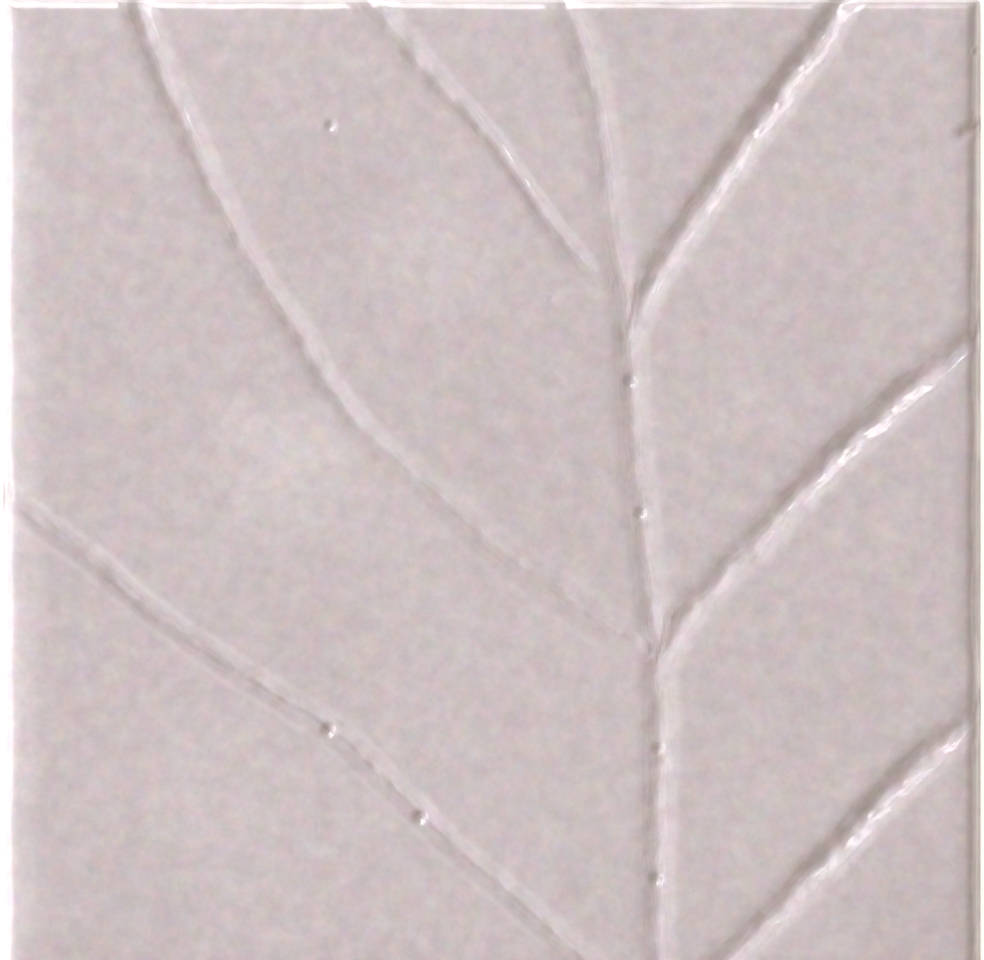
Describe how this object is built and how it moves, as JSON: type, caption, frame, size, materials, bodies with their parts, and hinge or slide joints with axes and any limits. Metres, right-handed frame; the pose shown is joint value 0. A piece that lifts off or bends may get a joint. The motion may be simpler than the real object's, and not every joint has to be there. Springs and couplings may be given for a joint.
{
  "type": "decorative tile",
  "caption": "Square glazed ceramic wall tile with leaf veins scribed into its rounded-edge face and keying grooves across its bare back.",
  "frame": {"origin": "centre of the back, on the plane that beds against the wall", "axes": "+Z out of the glazed face, +Y towards the edge that is uppermost in the picture, +X to the right as the face is seen"},
  "size_m": [0.1, 0.1, 0.009],
  "materials": {
    "glazed_clay": "glossy pinkish-grey glaze over the face and down the sides, bare fired clay on the back"
  },
  "bodies": {
    "root": {"tile": "glazed_clay"}
  },
  "joints": []
}
